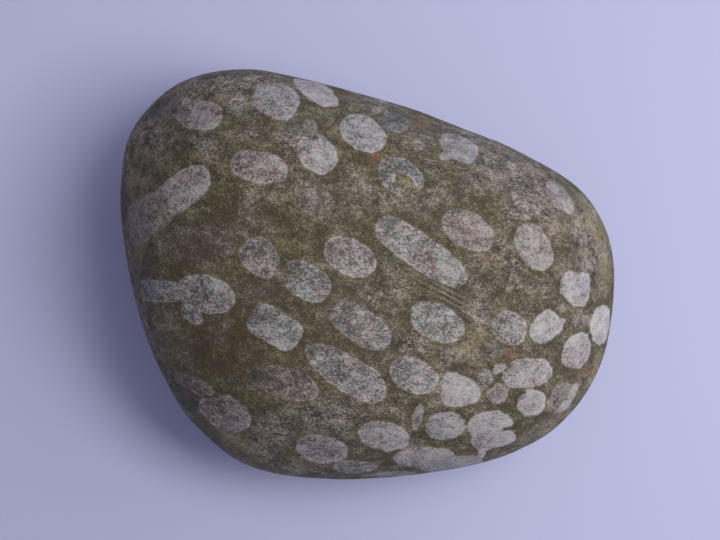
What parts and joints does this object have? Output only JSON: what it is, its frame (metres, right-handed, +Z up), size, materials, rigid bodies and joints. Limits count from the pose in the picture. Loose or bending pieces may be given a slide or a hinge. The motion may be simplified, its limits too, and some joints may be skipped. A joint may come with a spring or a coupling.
{
  "type": "glacial erratic boulder",
  "caption": "Smooth, ice-worn and water-worn cobble of coral limestone, a flattened rounded wedge that lies on a small flat spot.",
  "frame": {"origin": "under the middle of the stone's outline, on the surface that the stone lies on", "axes": "+Z up from the flat spot to the crown, +X along the length from the steep blunt end to the rounder low end, +Y across to the long straight back flank"},
  "size_m": [0.158, 0.13, 0.076],
  "materials": {
    "coral_limestone": "matte, water-worn, with pale oval sections of coral tubes in an olive-brown ground"
  },
  "bodies": {
    "root": {"stone": "coral_limestone"}
  },
  "joints": []
}
